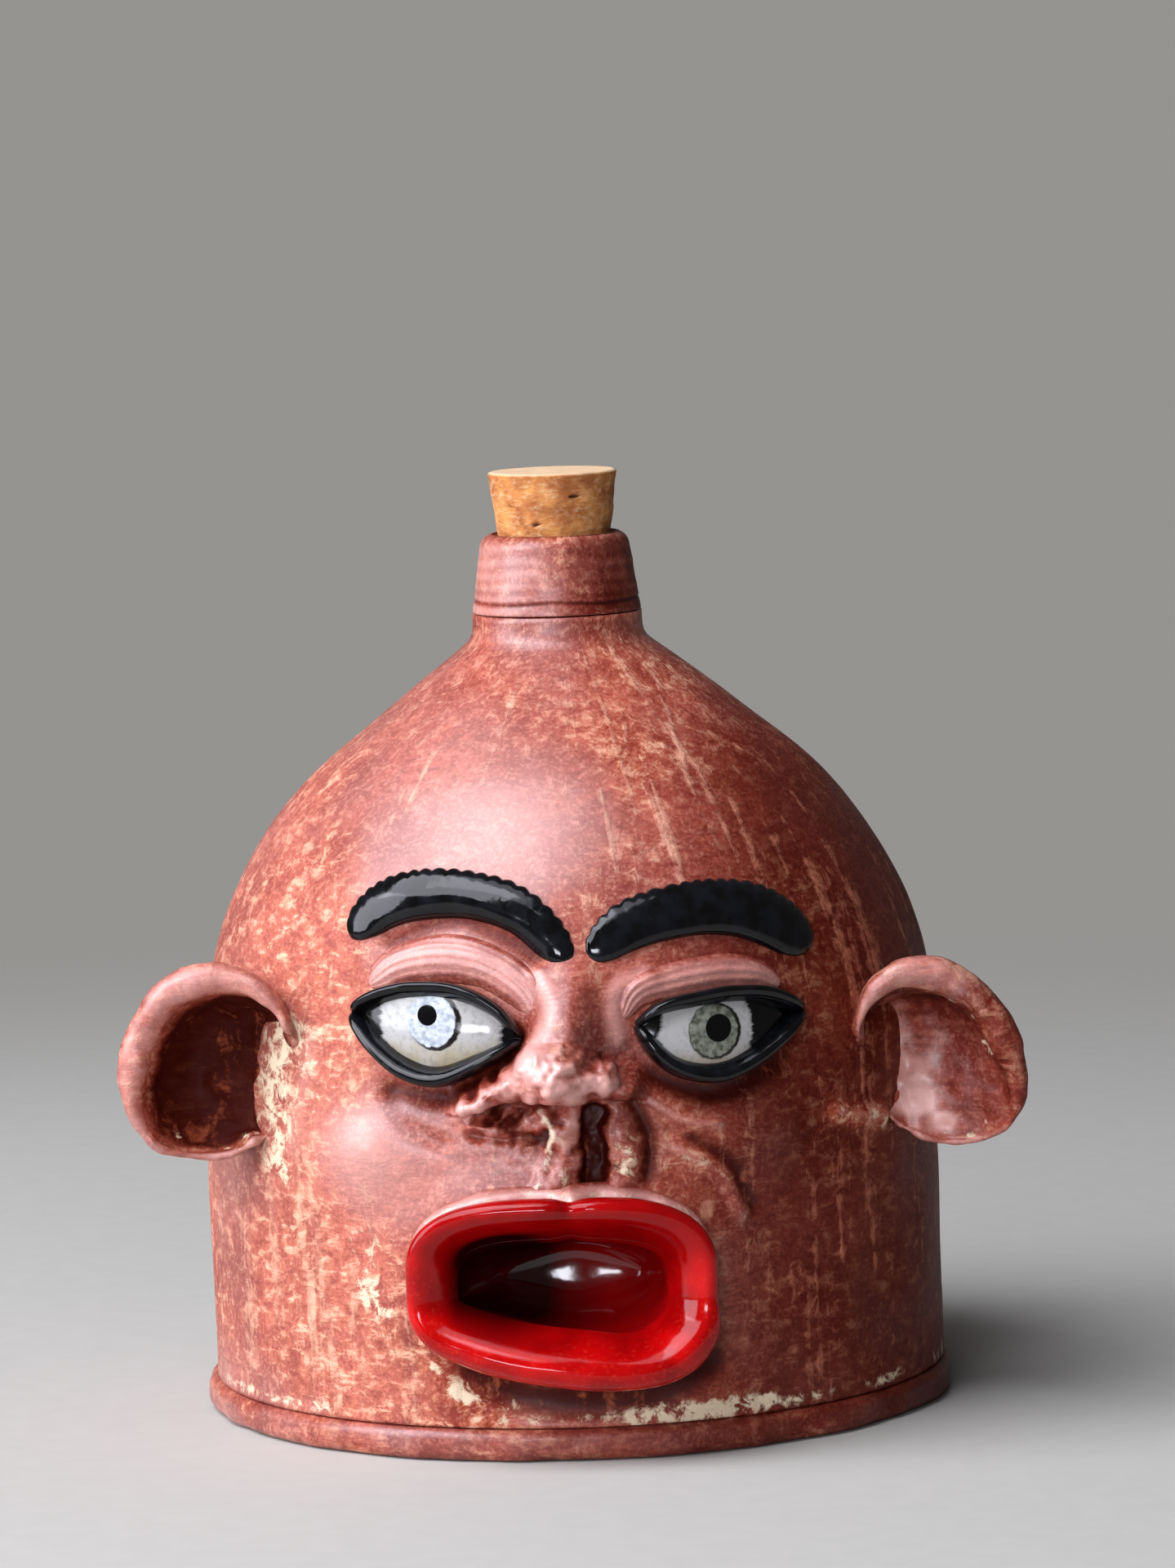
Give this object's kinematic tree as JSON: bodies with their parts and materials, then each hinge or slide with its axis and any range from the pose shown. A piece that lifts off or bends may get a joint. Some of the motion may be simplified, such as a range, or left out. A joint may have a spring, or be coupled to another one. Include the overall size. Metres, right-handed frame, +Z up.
{
  "type": "face_jug",
  "caption": "Hand-thrown redware jug with a modelled face: black brows and lids, glazed eyes, red lips round an open mouth, cupped ears, and a lift-out cork in a short neck",
  "frame": {"origin": "centre of the foot's underside, on the table", "axes": "+Z up; the face looks along -Y; the viewer's left is -X"},
  "size_m": [0.1636, 0.1505, 0.1723],
  "materials": {
    "redware": "matte",
    "cork": "matte",
    "red_glaze": "gloss",
    "black_glaze": "gloss",
    "white_glaze": "gloss"
  },
  "bodies": {
    "jug": {"jug_body": "redware", "foot_slab": "redware", "neck_collar": "redware", "mouth_cup": "red_glaze", "lips": "red_glaze", "lip_coil": "redware", "nose": "redware", "left_ear": "redware", "right_ear": "redware", "left_brow": "black_glaze", "right_brow": "black_glaze", "left_lid_fold": "redware", "right_lid_fold": "redware", "left_eyeball": "white_glaze", "right_eyeball": "white_glaze", "left_upper_lid": "black_glaze", "right_upper_lid": "black_glaze", "left_lower_lid": "black_glaze", "right_lower_lid": "black_glaze"},
    "stopper": {"cork_stopper": "cork"}
  },
  "joints": [
    {"name": "cork_lift", "type": "slide", "parent": "jug", "child": "stopper", "axis": [0, 0, 1], "range_m": [0, 0.03]}
  ]
}
